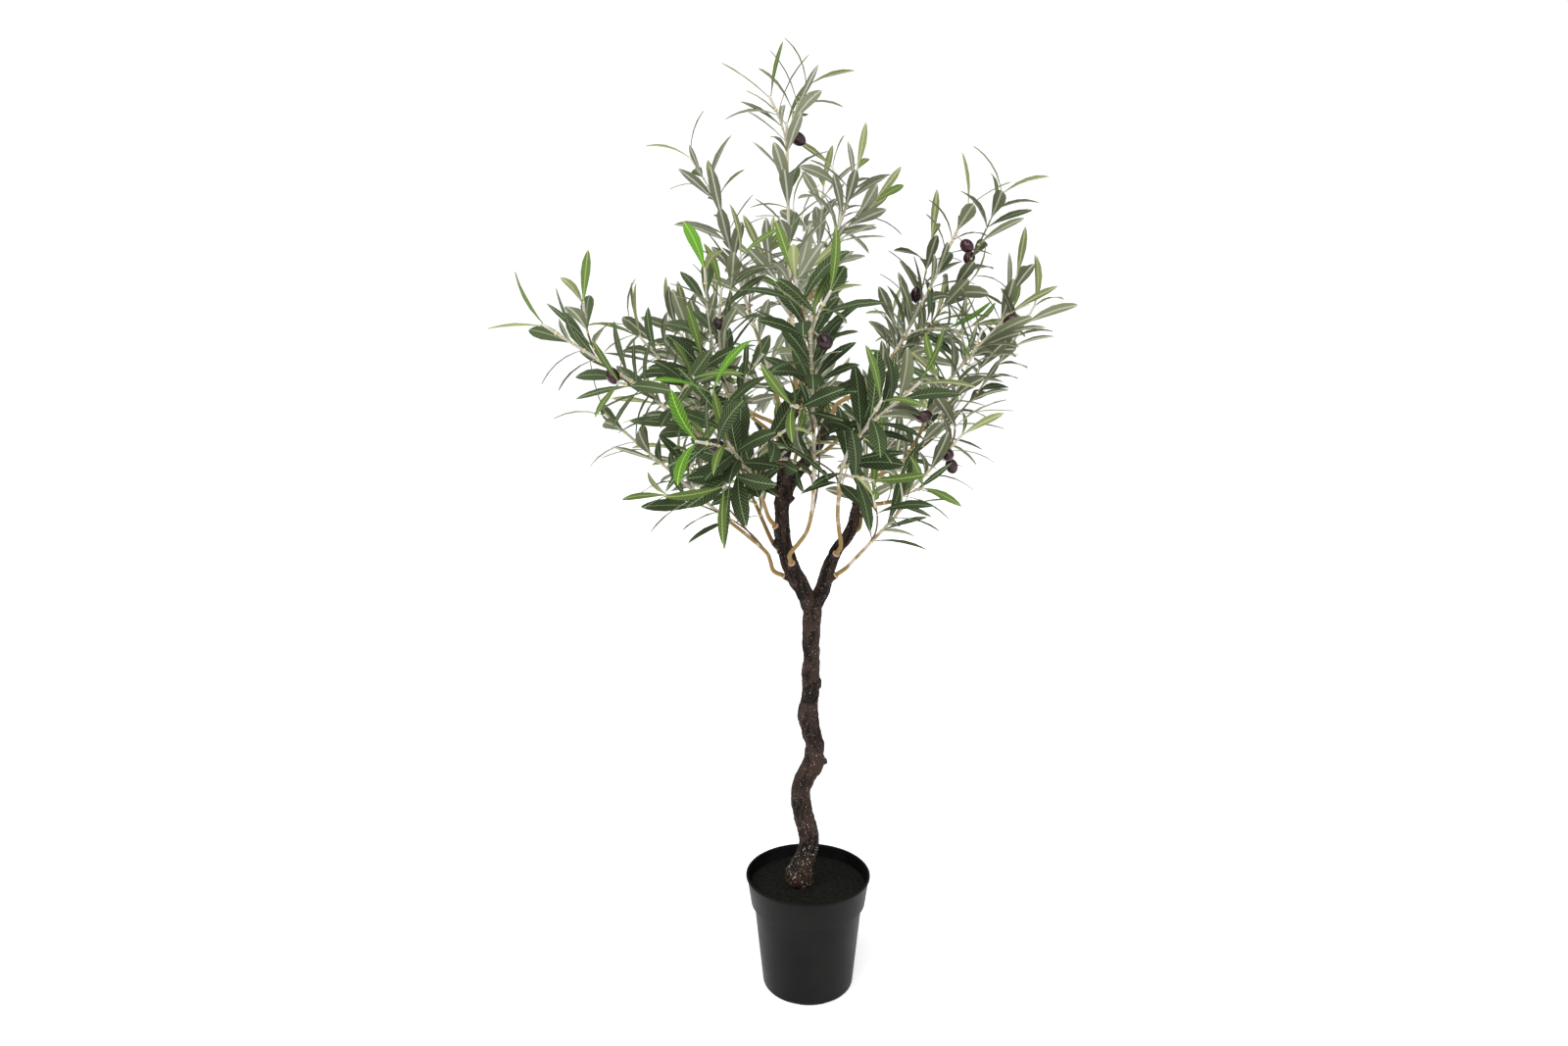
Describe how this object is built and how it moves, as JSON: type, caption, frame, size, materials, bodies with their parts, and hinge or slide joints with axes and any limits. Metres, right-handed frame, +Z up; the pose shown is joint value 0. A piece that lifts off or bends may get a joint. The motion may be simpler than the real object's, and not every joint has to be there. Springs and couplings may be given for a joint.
{
  "type": "artificial potted olive tree",
  "caption": "Tall artificial olive tree with a winding moulded trunk, fabric leaves and dark olives, in a plain black plastic nursery pot.",
  "frame": {"origin": "centre of the flat underside of the pot", "axes": "+Z up along the pot's axis, -Y towards the viewer of the picture, +X to the viewer's right"},
  "size_m": [0.6541, 0.6451, 1.1565],
  "materials": {
    "pot_plastic": "satin moulded black plastic",
    "fill": "matt, near-black potting fill",
    "bark": "matt painted bark relief, dark brown",
    "leaf_cloth": "printed and pressed cloth leaves, dark green above and grey-green below",
    "stem_plastic": "satin tan moulded stems",
    "olive_plastic": "glossy dark maroon moulded olives"
  },
  "bodies": {
    "root": {"pot": "pot_plastic", "potting_fill": "fill", "trunk": "bark", "leader": "bark", "right_bough": "bark", "inner_bough": "bark", "spray_low_left": "leaf_cloth", "spray_front_left": "leaf_cloth", "spray_front": "leaf_cloth", "spray_front_right": "leaf_cloth", "spray_low_right": "leaf_cloth", "spray_crown": "leaf_cloth", "spray_tall_back": "leaf_cloth", "spray_upper_right": "leaf_cloth", "spray_right": "leaf_cloth", "spray_right_low": "leaf_cloth", "spray_far_left": "leaf_cloth", "spray_left": "leaf_cloth", "spray_left_centre": "leaf_cloth", "spray_upper_left": "leaf_cloth", "spray_top_back": "leaf_cloth", "spray_back_left": "leaf_cloth", "spray_back_right": "leaf_cloth", "spray_back": "leaf_cloth", "spray_back_low_right": "leaf_cloth", "spray_back_low_left": "leaf_cloth"}
  },
  "joints": []
}
